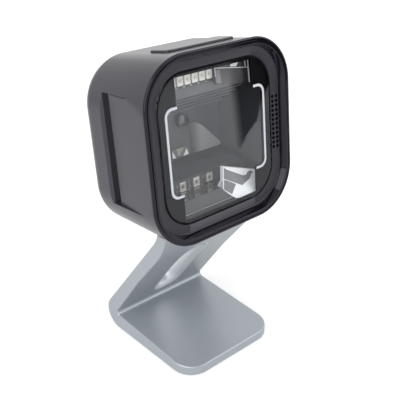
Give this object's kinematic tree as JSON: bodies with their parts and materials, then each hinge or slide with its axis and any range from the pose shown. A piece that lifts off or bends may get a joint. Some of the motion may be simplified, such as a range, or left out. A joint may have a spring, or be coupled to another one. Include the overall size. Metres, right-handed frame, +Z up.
{
  "type": "hands-free presentation barcode scanner on a riser stand",
  "caption": "Black rounded-square hands-free scanner head with a clear front window, tilting on a silver Z-shaped riser stand with a cable slot in its arm and a press bar on top.",
  "frame": {"origin": "centre of the stand's width at the pad's underside, below the tilt pin's part of the stand", "axes": "+Z up from the counter, -Y towards the customer side that the window faces, +X to the right of someone who looks at the back of the head"},
  "size_m": [0.095, 0.0749, 0.1753],
  "materials": {
    "stand_metal": "satin silver paint over cast metal",
    "ballast_steel": "zinc-plated steel",
    "screw_steel": "dark zinc",
    "pad_rubber": "matte",
    "pin_steel": "ground steel",
    "inner_plastic": "moulded black",
    "washer_plastic": "natural",
    "shell_plastic": "fine satin texture",
    "bezel_plastic": "polished black",
    "mesh_steel": "blackened",
    "window_glass": "clear, polished",
    "mask_print": "dark print behind the pane",
    "mark_print": "pale print",
    "gasket_foam": "closed foam",
    "chassis_plastic": "moulded dark grey",
    "lamp_board": "grey solder mask",
    "lamp_ceramic": "white ceramic with clear lens",
    "reflector_plating": "bright vacuum plating",
    "clear_plastic": "moulded clear",
    "barrel_metal": "black anodised",
    "lens_glass": "coated",
    "sensor_die": "bare sensor under cover glass",
    "board_green": "green solder mask",
    "connector_plastic": "ivory",
    "chip_plastic": "moulded epoxy",
    "cone_film": "film",
    "magnet_steel": "nickel",
    "socket_plastic": "black",
    "contact_brass": "gold-plated",
    "switch_plastic": "black",
    "button_plastic": "fine satin texture, as the shell",
    "plunger_plastic": "grey"
  },
  "bodies": {
    "stand": {"stand_body": "stand_metal", "ballast_plate": "ballast_steel", "ballast_screws": "screw_steel", "base_pad": "pad_rubber"},
    "head": {"tilt_pin": "pin_steel", "pin_retainer": "inner_plastic", "friction_washers": "washer_plastic", "hinge_cradle": "inner_plastic", "cradle_screws": "screw_steel", "rear_housing": "shell_plastic", "housing_screws": "screw_steel", "front_bezel": "bezel_plastic", "speaker_mesh": "mesh_steel", "window": "window_glass", "window_mask": "mask_print", "target_mark_left": "mark_print", "target_mark_right": "mark_print", "window_gasket": "gasket_foam", "optical_chassis": "chassis_plastic", "chassis_screws": "screw_steel", "upper_led_board": "lamp_board", "upper_leds": "lamp_ceramic", "lower_led_board": "lamp_board", "lower_leds": "lamp_ceramic", "upper_reflector": "reflector_plating", "lower_reflector": "reflector_plating", "aiming_prism": "clear_plastic", "lens_holder": "inner_plastic", "lens_barrel": "barrel_metal", "camera_lens": "lens_glass", "image_sensor": "sensor_die", "camera_board": "board_green", "camera_screws": "screw_steel", "camera_connector": "connector_plastic", "main_board": "board_green", "main_board_screws": "screw_steel", "board_chips": "chip_plastic", "speaker_frame": "inner_plastic", "speaker_cone": "cone_film", "speaker_magnet": "magnet_steel", "cable_socket": "socket_plastic", "socket_contacts": "contact_brass", "button_board": "board_green", "button_board_screws": "screw_steel", "button_switches": "switch_plastic"},
    "button": {"top_button": "button_plastic", "switch_plungers": "plunger_plastic"}
  },
  "joints": [
    {"name": "head_tilt", "type": "hinge", "parent": "stand", "child": "head", "pos_m": [0, -0.0179, 0.0857], "axis": [1, 0, 0], "range_deg": [-12, 12]},
    {"name": "button_press", "type": "slide", "parent": "head", "child": "button", "axis": [0, -0.107, -0.9943], "range_m": [0, 0.0005], "stiffness_N_per_m": 800, "springref_m": -0.0006}
  ]
}
